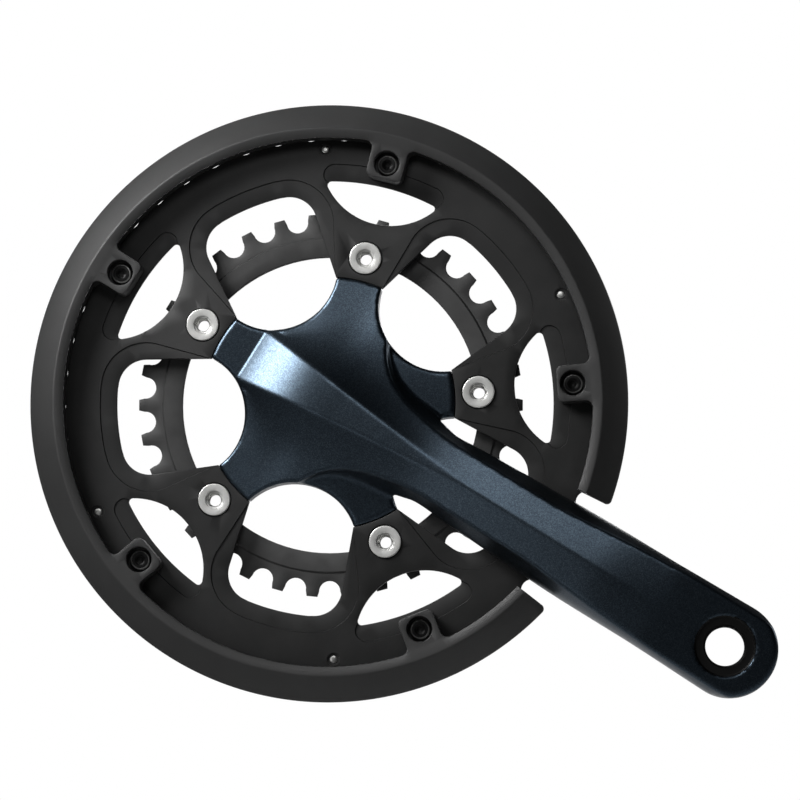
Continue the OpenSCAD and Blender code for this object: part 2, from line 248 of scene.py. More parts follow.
def lathe(rings, steps=72, centre=(0, 0), closed=True):
    """Turns a list of (radius, z) round a point. A radius may be an array, one value for each step."""
    a = np.linspace(0, 2 * math.pi, steps, endpoint=False)
    points = []
    for radius, z in rings:
        radius = np.broadcast_to(radius, a.shape)
        points.append(np.stack([centre[0] + radius * np.cos(a), centre[1] + radius * np.sin(a),
                                np.full(steps, float(z))], 1))
    faces = []
    count = len(rings)
    for k in range(count if closed else count - 1):
        low, high = k * steps, ((k + 1) % count) * steps
        for i in range(steps):
            j = (i + 1) % steps
            faces.append((low + i, low + j, high + j, high + i))
    return np.concatenate(points), faces


def hexagon(key, steps=72):
    """Radius of a hexagon at each step of a lathe."""
    a = np.degrees(np.linspace(0, 2 * math.pi, steps, endpoint=False))
    return key / 2 / np.cos(np.radians((a + 30) % 60 - 30))


class Side:
    """Front or back of a plate: a height over the plane, with its own lines."""

    def __init__(self, height):
        self.height = height
        self.lines = []
        self.zones = []

    def line(self, loop):
        self.lines.append(np.asarray(loop, float))

    def rings(self, *radii, steps=240):
        for r in radii:
            self.line(circle((0, 0), r, steps))

    def zone(self, loop, depth, ramp=0.3):
        """Lowers what is inside the loop by depth, over a sloping edge."""
        loop = tidy_loop(loop)
        inner = offset(loop, ramp)
        self.line(loop)
        self.line(inner)
        self.zones.append(("drop", loop, depth, ramp))

    def round_zone(self, centre, profile, steps=48):
        """Sets the height near a centre from a list of (radius, z). The last z is left to the plate."""
        for r, _ in profile:
            if r > 0:
                self.line(circle(centre, r, steps))
        self.zones.append(("round", centre, profile))

    def at(self, p):
        z = self.height(p)
        for kind, *data in self.zones:
            if kind == "drop":
                loop, depth, ramp = data
                box = (p > loop.min(0) - 1).all(1) & (p < loop.max(0) + 1).all(1)
                near = np.where(box)[0]
                hit = near[inside(p[near], loop)] if len(near) else near
                if len(hit):
                    z[hit] -= depth * np.clip(distance_to(p[hit], loop) / ramp, 0, 1)
            else:
                centre, profile = data
                d = np.linalg.norm(p - centre, axis=1)
                radii = [r for r, _ in profile]
                hit = d < radii[-1] - 0.005
                z[hit] = np.interp(d[hit], radii, [value for _, value in profile])
        return z


def skin(outline, holes, side, sign, edge, spacing):
    """Triangles of one side of a plate, with its outlines rounded by edge. sign is 1 for the front."""
    loops = []
    for loop in [outline] + holes:
        inward = 1 if loop is outline else -1
        loops.append((loop, edge))
        if edge > 0:
            loops.append((offset(loop, inward * 0.3 * edge), 0.29 * edge))
            loops.append((offset(loop, inward * edge), 0))
    points = []
    drop = []
    segments = []
    for loop, fall in loops + [(line, 0) for line in side.lines]:
        start = len(points)
        count = len(loop)
        points.extend(loop.tolist())
        drop.extend([fall] * count)
        segments.extend((start + i, start + (i + 1) % count) for i in range(count))
    if spacing:
        low, high = outline.min(0), outline.max(0)
        gx, gy = np.meshgrid(np.arange(low[0], high[0], spacing), np.arange(low[1], high[1], spacing))
        gx = gx + (np.arange(gx.shape[0]) % 2)[:, None] * spacing / 2
        extra = np.stack([gx.ravel(), gy.ravel()], 1)
        known = np.array(points)
        clear = np.array([np.min(np.sum((known - e) ** 2, 1)) > (0.45 * spacing) ** 2 for e in extra])
        extra = extra[clear]
        points.extend(extra.tolist())
        drop.extend([0] * len(extra))
    out = geometry.delaunay_2d_cdt([Vector(p) for p in points], segments, [], 0, 1e-4, True)
    verts = np.array([[v.x, v.y] for v in out[0]])
    falls = np.zeros(len(verts))
    found = {}
    for i, sources in enumerate(out[3]):
        for source in sources:
            found[source] = i
            falls[i] = max(falls[i], drop[source])
    tris = np.array([f for f in out[2] if len(f) == 3])
    middle = verts[tris].mean(1)
    keep = inside(middle, outline)
    for hole in holes:
        near = (middle > hole.min(0)).all(1) & (middle < hole.max(0)).all(1)
        index = np.where(keep & near)[0]
        keep[index[inside(middle[index], hole)]] = False
    tris = tris[keep]
    z = side.at(verts) - sign * falls
    if sign < 0:
        tris = tris[:, ::-1]
    bounds = []
    start = 0
    for number, (loop, _) in enumerate(loops):
        if edge <= 0 or number % 3 == 0:
            bounds.append([found[start + i] for i in range(len(loop))])
        start += len(loop)
    return np.column_stack([verts, z]), tris, bounds


def plate(outline, holes, front, back, edge=0.3, back_edge=None, spacing=5.0):
    """A closed plate between two sides, cut along an outline and its holes."""
    outline = tidy_loop(outline)
    holes = [tidy_loop(h) for h in holes]
    top, top_faces, top_bounds = skin(outline, holes, front, 1, edge, spacing)
    under_edge = edge if back_edge is None else back_edge
    low, low_faces, low_bounds = skin(outline, holes, back, -1, under_edge, spacing)
    shift = len(top)
    faces = top_faces.tolist() + (low_faces + shift).tolist()
    for number, (upper, lower) in enumerate(zip(top_bounds, low_bounds)):
        count = len(upper)
        for i in range(count):
            j = (i + 1) % count
            quad = (upper[i], lower[i] + shift, lower[j] + shift, upper[j])
            faces.append(quad if number == 0 else quad[::-1])
    points = np.concatenate([top, low])
    used = np.unique(np.concatenate([np.array(f) for f in faces]))
    renumber = np.full(len(points), -1)
    renumber[used] = np.arange(len(used))
    return points[used], [renumber[np.array(f)] for f in faces]


# ---- solid from a distance field ----

def net(field, low, high, cell):
    """Closed quad surface where field(x, y, z) is zero, drawn onto the surface by a few Newton steps."""
    axes = [np.arange(a, b + cell, cell) for a, b in zip(low, high)]
    shape = [len(a) for a in axes]
    grid = field(axes[0][:, None, None], axes[1][None, :, None], axes[2][None, None, :])
    grid = np.broadcast_to(grid, shape)
    solid = grid < 0
    corners = [(i, j, k) for i in (0, 1) for j in (0, 1) for k in (0, 1)]
    cells = [n - 1 for n in shape]

    def part(a, c):
        return a[c[0]:c[0] + cells[0], c[1]:c[1] + cells[1], c[2]:c[2] + cells[2]]

    count = sum(part(solid, c).astype(np.int8) for c in corners)
    index = np.argwhere((count > 0) & (count < 8))
    number = np.full(cells, -1)
    number[tuple(index.T)] = np.arange(len(index))
    total = np.zeros((len(index), 3))
    hits = np.zeros(len(index))
    for a in corners:
        for d in range(3):
            if a[d]:
                continue
            b = list(a)
            b[d] = 1
            va = grid[tuple((index + a).T)]
            vb = grid[tuple((index + b).T)]
            cut = (va < 0) != (vb < 0)
            t = np.where(cut, va / np.where(cut, va - vb, 1), 0)
            spot = np.tile(np.array(a, float), (len(index), 1))
            spot[:, d] = t
            total[cut] += spot[cut]
            hits[cut] += 1
    points = (index + total / hits[:, None]) * cell + np.array([a[0] for a in axes])
    faces = []
    for d in range(3):
        u, v = (d + 1) % 3, (d + 2) % 3
        first = [slice(1, -1)] * 3
        first[d] = slice(0, -1)
        second = list(first)
        second[d] = slice(1, None)
        sa = solid[tuple(first)]
        sb = solid[tuple(second)]
        where = np.argwhere(sa != sb)
        base = where.copy()
        for axis in (u, v):
            base[:, axis] += 1
        leaving = sa[tuple(where.T)]
        around = []
        for du, dv in ((-1, -1), (0, -1), (0, 0), (-1, 0)):
            at = base.copy()
            at[:, u] += du
            at[:, v] += dv
            around.append(number[tuple(at.T)])
        quads = np.stack(around, 1)
        quads[~leaving] = quads[~leaving][:, ::-1]
        faces.append(quads)
    faces = np.concatenate(faces)
    h = 0.05
    for _ in range(4):
        x, y, z = points.T
        f = field(x, y, z)
        g = np.stack([field(x + h, y, z) - field(x - h, y, z), field(x, y + h, z) - field(x, y - h, z),
                      field(x, y, z + h) - field(x, y, z - h)], 1) / (2 * h)
        step = f[:, None] * g / np.maximum(np.sum(g * g, 1), 0.2)[:, None]
        length = np.linalg.norm(step, axis=1)
        step *= np.minimum(1, 0.3 * cell / np.maximum(length, 1e-9))[:, None]
        points = points - step
    return points, faces


def smooth_max(a, b, k):
    h = np.clip(0.5 + 0.5 * (a - b) / k, 0, 1)
    return b + (a - b) * h + k * h * (1 - h)


def smooth_min(a, b, k):
    return -smooth_max(-a, -b, k)


# ---- materials ----

def new_material(name, base, metallic, roughness, **sockets):
    material = bpy.data.materials.new(name)
    material.use_nodes = True
    shader = material.node_tree.nodes["Principled BSDF"]
    shader.inputs["Base Color"].default_value = (*base, 1)
    shader.inputs["Metallic"].default_value = metallic
    shader.inputs["Roughness"].default_value = roughness
    for key, value in sockets.items():
        shader.inputs[key.replace("_", " ")].default_value = value
    return material


class Nodes:
    """Short ways to add the nodes that the materials share."""

    def __init__(self, material):
        self.tree = material.node_tree
        self.shader = self.tree.nodes["Principled BSDF"]
        self.coords = self.tree.nodes.new("ShaderNodeTexCoord").outputs["Object"]

    def link(self, a, b):
        self.tree.links.new(a, b)

    def noise(self, scale, detail=3, roughness=0.55, stretch=None):
        node = self.tree.nodes.new("ShaderNodeTexNoise")
        node.inputs["Scale"].default_value = scale
        node.inputs["Detail"].default_value = detail
        node.inputs["Roughness"].default_value = roughness
        self.link(self.stretched(stretch), node.inputs["Vector"])
        return node.outputs["Fac"]

    def stretched(self, stretch):
        if stretch is None:
            return self.coords
        node = self.tree.nodes.new("ShaderNodeMapping")
        node.inputs["Scale"].default_value = stretch
        self.link(self.coords, node.inputs["Vector"])
        return node.outputs["Vector"]

    def cells(self, scale):
        node = self.tree.nodes.new("ShaderNodeTexVoronoi")
        node.inputs["Scale"].default_value = scale
        self.link(self.coords, node.inputs["Vector"])
        return node.outputs["Color"]

    def rings(self, scale, direction, distortion=0.0, centre=None):
        """Concentric turned rings about a line along one axis of the object."""
        node = self.tree.nodes.new("ShaderNodeTexWave")
        node.wave_type = "RINGS"
        node.rings_direction = direction
        node.inputs["Scale"].default_value = scale
        node.inputs["Distortion"].default_value = distortion
        source = self.coords
        if centre is not None:
            shift = self.tree.nodes.new("ShaderNodeMapping")
            shift.inputs["Location"].default_value = centre
            self.link(self.coords, shift.inputs["Vector"])
            source = shift.outputs["Vector"]
        self.link(source, node.inputs["Vector"])
        return node.outputs["Fac"]

    def ramp(self, source, stops, socket):
        node = self.tree.nodes.new("ShaderNodeValToRGB")
        elements = node.color_ramp.elements
        while len(elements) < len(stops):
            elements.new(0.5)
        for element, (place, colour) in zip(elements, stops):
            element.position = place
            element.color = (*colour, 1) if len(colour) == 3 else colour
        self.link(source, node.inputs["Fac"])
        self.link(node.outputs["Color"], self.shader.inputs[socket])

    def spread(self, source, low, high, socket):
        node = self.tree.nodes.new("ShaderNodeMapRange")
        node.inputs["To Min"].default_value = low
        node.inputs["To Max"].default_value = high
        self.link(source, node.inputs["Value"])
        self.link(node.outputs["Result"], self.shader.inputs[socket])

    def bump(self, source, depth, strength=1.0):
        node = self.tree.nodes.new("ShaderNodeBump")
        node.inputs["Distance"].default_value = depth
        node.inputs["Strength"].default_value = strength
        self.link(source, node.inputs["Height"])
        self.link(node.outputs["Normal"], self.shader.inputs["Normal"])


def grey(value):
    return (value, value, value)


def flake_paint():
    """Dark blue-grey metallic paint with fine aluminium flakes under a satin lacquer."""
    m = new_material("arm_paint_flake", (0.05, 0.08, 0.11), 1.0, 0.34,
                     Coat_Weight=0.5, Coat_Roughness=0.32, Specular_IOR_Level=0.5)
    n = Nodes(m)
    flakes = n.cells(3600)
    n.ramp(flakes, [(0.25, (0.016, 0.028, 0.043)), (0.6, (0.03, 0.049, 0.07)), (0.93, (0.06, 0.085, 0.11))],
           "Base Color")
    n.spread(n.noise(60, 4), 0.28, 0.34, "Roughness")
    n.bump(flakes, 0.000006, 0.4)
    return m


def anodised(name, colour, roughness, grain=2600, depth=0.000012, metallic=0.35):
    """Blasted and anodised aluminium: a fine even grain with slight cloudiness."""
    m = new_material(name, colour, metallic, roughness, Specular_IOR_Level=0.45)
    n = Nodes(m)
    low = tuple(0.82 * c for c in colour)
    high = tuple(1.2 * c for c in colour)
    n.ramp(n.noise(90, 5), [(0.3, low), (0.7, high)], "Base Color")
    grain_noise = n.noise(grain, 2)
    n.spread(grain_noise, roughness - 0.05, roughness + 0.07, "Roughness")
    n.bump(grain_noise, depth, 0.6)
    return m


def moulded(name, colour, roughness, grain=1700, depth=0.00002):
    """Injection-moulded plastic with a fine spark-eroded texture."""
    m = new_material(name, colour, 0, roughness, Specular_IOR_Level=0.4)
    n = Nodes(m)
    low = tuple(0.85 * c for c in colour)
    high = tuple(1.15 * c for c in colour)
    n.ramp(n.noise(35, 4), [(0.3, low), (0.7, high)], "Base Color")
    texture = n.noise(grain, 3)
    n.spread(texture, roughness - 0.05, roughness + 0.08, "Roughness")
    n.bump(texture, depth, 0.7)
    return m


def turned_metal(name, colour, roughness, pitch_m, direction, centre=None, metallic=1.0, depth=0.00002):
    """Bright metal with the fine concentric marks of a lathe tool."""
    m = new_material(name, colour, metallic, roughness)
    n = Nodes(m)
    marks = n.rings(0.314 / pitch_m, direction, 0.4, centre)
    low = tuple(0.86 * c for c in colour)
    n.ramp(n.noise(500, 3), [(0.3, low), (0.7, colour)], "Base Color")
    n.spread(marks, roughness - 0.06, roughness + 0.08, "Roughness")
    n.bump(marks, depth, 0.5)
    return m


def ground_steel(name, colour, roughness, grain=(1, 40, 1)):
    """Ground or drawn steel with fine marks running one way."""
    m = new_material(name, colour, 1, roughness)
    n = Nodes(m)
    marks = n.noise(60, 4, 0.6, grain)
    low = tuple(0.8 * c for c in colour)
    n.ramp(marks, [(0.3, low), (0.7, colour)], "Base Color")
    n.spread(marks, roughness - 0.05, roughness + 0.1, "Roughness")
    n.bump(marks, 0.000008, 0.5)
    return m


def rubber(name, colour, roughness):
    m = new_material(name, colour, 0, roughness, Specular_IOR_Level=0.35)
    n = Nodes(m)
    cloud = n.noise(900, 4)
    low = tuple(0.8 * c for c in colour)
    n.ramp(cloud, [(0.3, low), (0.7, colour)], "Base Color")
    n.bump(cloud, 0.00002, 0.6)
    return m


PAINT = flake_paint()
BLACK_ANODISED = anodised("black_anodised", grey(0.017), 0.46)
GREY_ANODISED = anodised("grey_anodised", grey(0.045), 0.45)
GUARD_PLASTIC = moulded("guard_plastic", grey(0.03), 0.5)
BOLT_SILVER = {a: turned_metal("bolt_silver_%d" % i, (0.56, 0.56, 0.545), 0.36, 0.00022, "Y",
                               (-BOLT_R * math.cos(a + ARM_ANGLE) / 1000, 0,
                                -BOLT_R * math.sin(a + ARM_ANGLE) / 1000), 0.4)
               for i, a in enumerate(BOLT_ANGLES)}
NUT_SILVER = ground_steel("nut_silver", (0.62, 0.62, 0.6), 0.35, (1, 1, 1))
BLACK_STEEL = anodised("black_steel", grey(0.015), 0.4, metallic=0.8)
# Bright steel for the guard screws' rim chamfer: a painted highlight, not wear
PAINTED_HIGHLIGHT_STEEL = ground_steel("painted_highlight_steel", (0.55, 0.55, 0.54), 0.3, (1, 1, 1))
BRIGHT_STEEL = ground_steel("bright_steel", (0.72, 0.72, 0.7), 0.28, (1, 1, 1))
SPINDLE_STEEL = turned_metal("spindle_steel", (0.42, 0.43, 0.44), 0.32, 0.0009, "Y")
CUP_ANODISED = anodised("cup_anodised", grey(0.03), 0.42, metallic=0.5)
SLEEVE_PLASTIC = moulded("sleeve_plastic", grey(0.02), 0.45)
BUSH_PLASTIC = moulded("bush_plastic", grey(0.05), 0.4)
SEAL_RUBBER = rubber("seal_rubber", (0.03, 0.03, 0.032), 0.6)
BEARING_STEEL = ground_steel("bearing_steel", (0.6, 0.61, 0.62), 0.22, (1, 30, 1))
CAGE_NYLON = moulded("cage_nylon", (0.55, 0.5, 0.4), 0.5)

KEPT_NODES = {
    "spindle": SPINDLE_STEEL,
    "chainring_nuts": NUT_SILVER,
    "chain_catch_pin": BRIGHT_STEEL,
    "right_cup": CUP_ANODISED,
    "left_cup": CUP_ANODISED,
    "centre_sleeve": SLEEVE_PLASTIC,
    "sleeve_o_rings": SEAL_RUBBER,
    "right_outer_race": BEARING_STEEL,
    "left_outer_race": BEARING_STEEL,
    "right_inner_race": BEARING_STEEL,
    "left_inner_race": BEARING_STEEL,
    "right_seals": SEAL_RUBBER,
    "left_seals": SEAL_RUBBER,
    "right_balls": BEARING_STEEL,
    "left_balls": BEARING_STEEL,
    "right_cage": CAGE_NYLON,
    "left_cage": CAGE_NYLON,
    "right_bush": BUSH_PLASTIC,
    "left_bush": BUSH_PLASTIC,
}
for node_name, paint in KEPT_NODES.items():
    kept = nodes[node_name]
    if not kept.material_slots:
        kept.data.materials.append(paint)
    for material_slot in kept.material_slots:
        material_slot.material = paint


# ---- crank arm ----

def blurred(xs, values, width):
    """A table of a smooth curve through rounded corners, read with np.interp."""
    fine = np.arange(-90, 240, 0.5)
    table = np.interp(fine, xs, values)
    window = np.hanning(int(width / 0.5) * 2 + 1)
    padded = np.pad(table, len(window) // 2, mode="edge")
    return fine, np.convolve(padded, window / window.sum(), "valid")


# The forging's outer face starts flat, rises along a curved facet and runs on as a ridge. These tables give,
# along the arm, its height, how its roof falls away from the ridge, where its steep flanks begin, and its
# underside.
PAD_Z = 49.8
FACET_START = -34
FACET_LENGTH = 36
FACET_SLOPE = math.radians(34)
HUB_Z = PAD_Z - FACET_LENGTH / FACET_SLOPE * math.log(math.cos(FACET_SLOPE))
CREST = blurred([-60, 2, 38, 118, 146, 220], [HUB_Z, HUB_Z, 62.6, 70.9, ARM_FRONT, ARM_FRONT], 14)
ROOF_SLOPE = blurred([-60, 5, 16, 30, 46, 60, 110, 142, 220],
                     [0.58, 0.58, 0.55, 0.42, 0.24, 0.17, 0.13, 0, 0], 6)
ROOF_DROP = blurred([-60, 5, 16, 30, 46, 220], [11.5, 11.5, 14, 22, 40, 40], 6)
SHOULDER = blurred([-60, 0, 4, 10, 16, 25, 38, 46, 92, 124, 150, 220],
                   [60, 60, 34, 24, 18.5, 14.5, 12, 11, 11, 13.6, 15, 15.4], 5)
ARM_UNDER = blurred([-60, 30, 46, 98, 112, 150, 220], [46, 46, 53.8, 53.8, 54.8, EYE_BACK, EYE_BACK], 5)
FLANK_SLOPE = 1.9


def arm_crest(x):
    """Height along the middle of the hub and the arm: a steep start that levels out, then the arm."""
    s = np.clip(x - FACET_START, 0, FACET_LENGTH)
    slope = FACET_SLOPE * (1 - s / FACET_LENGTH)
    rise = FACET_LENGTH / FACET_SLOPE * np.log(np.cos(slope) / math.cos(FACET_SLOPE))
    return np.interp(x, *CREST) - HUB_Z + PAD_Z + rise


def arm_top(x, y):
    """Outer surface of the crank arm and the spider: a ridge with falling sides, then steep flanks."""
    r = np.hypot(x, y)
    across = np.abs(y)
    ridge = np.clip(10 * (60 - x) / 94, 0, 10.5)
    slope = np.interp(x, *ROOF_SLOPE)
    drop = np.interp(x, *ROOF_DROP)
    shoulder = np.interp(x, *SHOULDER)

    def roof(distance):
        return arm_crest(x) - drop * (1 - np.exp(-slope * smooth_max(distance, 0 * distance, 0.8) / drop))

    flank = roof(shoulder - ridge) - FLANK_SLOPE * (across - shoulder)
    spine = smooth_min(roof(across - ridge), flank, 1.0)
    branch = PAD_Z - 0.1 + 1.3 * np.clip((SPIDER_R - r) / 20, 0, 1.2) ** 1.5
    facet = np.clip((13 - across) / 3, 0, 1) * np.clip((-6 - x) / 24, 0, 1)
    pad = np.where(x < FACET_START, PAD_Z, -100)
    return smooth_max(smooth_max(spine, branch - 6 * facet, 2.5), pad, 0.6)


def arm_field(x, y, z):
    """Signed distance, roughly, to the forged crank arm with its spider. Negative inside."""
    r = np.hypot(x, y)
    turn = np.arctan2(y, x)
    fold = (turn + STEP / 2) % STEP - STEP / 2
    gap_x = r * np.cos(fold)
    gap_y = r * np.sin(fold)
    opening = OPENING_R - np.hypot(gap_x - OPENING_AT, gap_y)
    spider_plan = smooth_max(r - SPIDER_R, opening, 0.5)
    h = 0.1
    top = arm_top(x, y)
    tilt = np.sqrt(1 + ((arm_top(x + h, y) - top) / h) ** 2 + ((arm_top(x, y + h) - top) / h) ** 2)
    above = (z - top) / tilt
    under = np.interp(r, [24, 28.5], [ARM_BACK + 4.3, ARM_BACK]) - z
    spider = smooth_max(spider_plan, under, 0.6)
    along = np.clip(x, 6, EYE_AT)
    half = np.interp(x, [140, EYE_AT], [ARM_HALF, EYE_R])
    arm_plan = np.hypot(x - along, y) - half
    arm_low = np.interp(x, *ARM_UNDER)
    arm = smooth_max(arm_plan, (arm_low - z) * 0.9, 2.2)
    edge = np.interp(x, [20, 50], [1.1, 2.2])
    body = smooth_max(smooth_min(spider, arm, 2.4), above, edge)
    bolt_turn = turn % STEP - STEP / 2
    tab_x = r * np.cos(bolt_turn)
    tab_y = r * np.sin(bolt_turn)
    tab_plan = np.hypot(tab_x - np.clip(tab_x, 36, BOLT_R), tab_y) - TAB_HALF
    tab = smooth_max(tab_plan, np.maximum(ARM_BACK - z, z - BIG_BACK + 0.02), 0.4)
    body = np.minimum(body, tab)
    eye = np.hypot(x - CRANK, y)
    body = smooth_max(body, EYE_RECESS_R + 0.3 - eye, 0.4)
    body = np.maximum(body, SLEEVE_R + 0.05 - np.hypot(tab_x - BOLT_R, tab_y))
    seat = np.maximum(r - SPINDLE_R, z - SPINDLE_END)
    return np.maximum(body, -seat)


def make_crank_arm():
    low = (-BOLT_R - TAB_HALF - 1.5, -BOLT_R - TAB_HALF - 1.5, ARM_BACK - 1.5)
    high = (EYE_AT + EYE_R + 1.5, BOLT_R + TAB_HALF + 1.5, ARM_FRONT + 1.5)
    points, faces = net(arm_field, low, high, 0.8)
    make_piece("crank_arm_forging", points, faces, [PAINT], "crank", ["crank_arm"], 60)


def make_pedal_eye():
    """The turned recess and the threaded wall of the pedal hole."""
    face = ARM_FRONT - 0.25
    floor = ARM_FRONT - 0.8
    wall = EYE_RECESS_R + 0.32
    crest = PEDAL_THREAD_R - 0.1
    root = PEDAL_THREAD_R + 0.3
    rings = [(wall, face), (EYE_RECESS_R - 0.2, floor + 0.05), (EYE_RECESS_R - 0.5, floor),
             (PEDAL_THREAD_R + 0.7, floor), (root, floor - 0.5)]
    z = floor - 0.5
    while z > EYE_BACK + 1.4:
        rings += [(crest, z - 0.45), (crest, z - 0.65), (root, z - 1.1), (root, z - 1.27)]
        z -= 1.27
    rings += [(root, EYE_BACK + 0.5), (root + 0.3, EYE_BACK + 0.15), (wall, EYE_BACK + 0.15)]
    points, faces = lathe(rings[::-1], 96, (CRANK, 0))
    make_piece("pedal_eye", points, faces, [BLACK_STEEL], "crank", (), 25)


# ---- chainrings ----

def pitch_radius(teeth):
    return PITCH / 2 / math.sin(math.pi / teeth)


def toothed(teeth):
    """Outline of a chainring: a roller seat between each pair of teeth, with flared flanks."""
    pr = pitch_radius(teeth)
    flare = 0.33 * TIP
    valley = arc((pr, 0), ROLLER_R, 270, 90, 12)
    seat = np.concatenate([[[pr + TIP, -ROLLER_R - flare]], valley, [[pr + TIP, ROLLER_R + flare]]])
    return np.concatenate([turned(seat, 2 * math.pi * (i + 0.5) / teeth) for i in range(teeth)])


def petal():
    """Half of the large opening between two bolt tabs, from its rounded outer corner to the middle."""
    cx, cy = PETAL_CORNER
    lean = math.degrees(math.atan2(2.5, 37))
    turn = math.degrees(math.atan2(cy, cx))
    corner = arc(PETAL_CORNER, PETAL_CORNER_R, 90 + lean, turn, 14)
    outer = arc((0, 0), PETAL_R, turn, 0, 10)[1:-1]
    return np.concatenate([corner, outer])


def petal_border():
    """Line round a petal, as far out as the border is wide, drawn in to the tab's inner corner."""
    cx, cy = PETAL_CORNER
    turn = math.degrees(math.atan2(cy, cx))
    r = PETAL_CORNER_R + BORDER
    half = np.concatenate([
        [[30, 12], [41.6, 19.5]], arc(PETAL_CORNER, r, 104, turn, 16),
        arc((0, 0), PETAL_R + BORDER, turn, 0, 10)[1:-1]])
    return mirrored(half)


def window_corner():
    arc_at = WINDOW_R + 11.9
    a = WINDOW_R - WINDOW_ROUND
    b = WINDOW_ARC_R - WINDOW_ROUND
    x = (a * a - b * b + arc_at * arc_at) / (2 * arc_at)
    return x, math.sqrt(a * a - x * x), arc_at


def window_outline():
    """Small window outside a bolt: two arcs that meet in rounded corners."""
    x, y, arc_at = window_corner()
    outward = math.degrees(math.atan2(y, x))
    inward = math.degrees(math.atan2(y, x - arc_at))
    inner = arc((arc_at, 0), WINDOW_ARC_R, 180, inward, 14)[1:]
    corner = arc((x, y), WINDOW_ROUND, inward, outward, 8)[1:]
    outer = arc((0, 0), WINDOW_R, outward, 0, 12)[1:-1]
    return mirrored(np.concatenate([inner, corner, outer]))


def window_border():
    """Line outside a window, as far out as the border is wide, that turns in to its corners."""
    x, y, _ = window_corner()
    end_r = 4.2
    r = WINDOW_R + BORDER
    a = math.degrees(math.atan2(y, x)) - 0.8
    cx, cy = turned([[r - end_r, 0]], math.radians(a))[0]
    half = np.concatenate([
        [[x - 0.8, y - 1.5], [x - 0.6, y + 0.9]], arc((cx, cy), end_r, 118, a, 12),
        arc((0, 0), r, a, 0, 12)[1:-1]])
    return mirrored(half)


def at_radius(radius, angles):
    return [np.array([radius * math.cos(a), radius * math.sin(a)]) for a in angles]


def make_big_chainring():
    inner = SPIDER_R + 0.1
    # The petals cut through to the spider's circle, so one closed line bounds the inside of the ring
    mouth_y = 19.75
    mouth = [[math.sqrt(inner ** 2 - mouth_y ** 2), mouth_y]]
    opening = mirrored(np.concatenate([mouth, petal()]))[::-1]
    mouth_angle = math.degrees(math.asin(mouth_y / inner))
    tab = arc((0, 0), inner, mouth_angle, 72 - mouth_angle, 8)[1:-1]
    rim = []
    for a in GAP_ANGLES:
        rim += [turned(opening, a), turned(tab, a)]
    holes = [np.concatenate(rim)]
    holes += [turned(window_outline(), a) for a in BOLT_ANGLES]
    holes += [circle(c, BOLT_HOLE_R, 32) for c in at_radius(BOLT_R, BOLT_ANGLES)]
    holes += [circle(c, SCREW_HOLE_R, 24) for c in at_radius(SCREW_AT, BOLT_ANGLES)]
    holes += [circle(c, PIN_HOLE_R, 24) for c in at_radius(PIN_AT, PIN_ANGLES)]
    holes.append(circle((CATCH_AT, 0), CATCH_HOLE_R, 24))

    def front_height(p):
        r = np.linalg.norm(p, axis=1)
        return np.interp(r, [inner, FOLD_R, CHAMFER_R, BODY_R],
                         [BIG_TOP, RIM_FRONT, RIM_FRONT, RIM_FRONT - 0.2])

    def back_height(p):
        r = np.linalg.norm(p, axis=1)
        return np.interp(r, [BODY_R, BODY_R + 0.15], [BIG_BACK, BIG_BACK + 0.6])

    front = Side(front_height)
    front.rings(FOLD_R, CHAMFER_R, BODY_R)
    for a in GAP_ANGLES:
        front.zone(turned(petal_border(), a), BORDER_DROP, 0.28)
    for a in BOLT_ANGLES:
        front.zone(turned(window_border(), a), BORDER_DROP, 0.28)
    for c in at_radius(BOLT_R, BOLT_ANGLES):
        rim_z = front_height(c[None, :])[0]
        front.round_zone(c, [(0, HEAD_SEAT), (6.15, HEAD_SEAT), (6.25, rim_z - 0.15), (6.45, rim_z)])
    for c in at_radius(PIN_AT, PIN_ANGLES):
        front.round_zone(c, [(0, RIM_FRONT - 0.6), (2.3, RIM_FRONT - 0.6), (2.4, RIM_FRONT)], 32)
    back = Side(back_height)
    back.rings(BODY_R, BODY_R + 0.15)
    for c in at_radius(BOLT_R, BOLT_ANGLES):
        back.round_zone(c, [(0, NUT_END), (SLEEVE_R + 0.02, NUT_END), (SLEEVE_R + 0.07, BIG_BACK)])
    points, faces = plate(toothed(BIG_TEETH), holes, front, back, 0.28)
    make_piece("big_chainring_plate", points, faces, [BLACK_ANODISED], "crank",
               ["big_chainring"], 30)


def make_small_chainring():
    flare = [[53.55, 11.1], [52.6, 9.6], [52, 8.5]]
    half = np.concatenate([flare, arc((BOLT_R, 0), 9, 110, 180, 10)[1:]])
    tab = np.concatenate([half * [1, -1], half[::-1][1:]])
    start = math.degrees(math.atan2(11.1, 53.55))
    gap = arc((0, 0), SMALL_INNER_R, start, 72 - start, 14)[1:-1]
    rim = []
    for a in BOLT_ANGLES:
        rim += [turned(tab, a), turned(gap, a)]
    holes = [np.concatenate(rim)]
    holes += [circle(c, SLEEVE_R + 0.03, 32) for c in at_radius(BOLT_R, BOLT_ANGLES)]

    def front_height(p):
        r = np.linalg.norm(p, axis=1)
        return np.interp(r, [SMALL_STEP_R, SMALL_STEP_R + 0.7], [SMALL_FRONT, SMALL_FRONT - 0.7])

    def back_height(p):
        r = np.linalg.norm(p, axis=1)
        return np.interp(r, [SMALL_STEP_R, SMALL_STEP_R + 0.6], [SMALL_BACK, SMALL_BACK + 0.6])

    front = Side(front_height)
    front.rings(SMALL_STEP_R, SMALL_STEP_R + 0.7)
    back = Side(back_height)
    back.rings(SMALL_STEP_R, SMALL_STEP_R + 0.6)
    for c in at_radius(BOLT_R, BOLT_ANGLES):
        back.round_zone(c, [(0, SMALL_BACK + 1.2), (6.52, SMALL_BACK + 1.2), (6.6, SMALL_BACK)])
    points, faces = plate(toothed(SMALL_TEETH), holes, front, back, 0.3)
    make_piece("small_chainring_plate", points, faces, [GREY_ANODISED], "crank",
               ["small_chainring"], 30)


# ---- fasteners ----

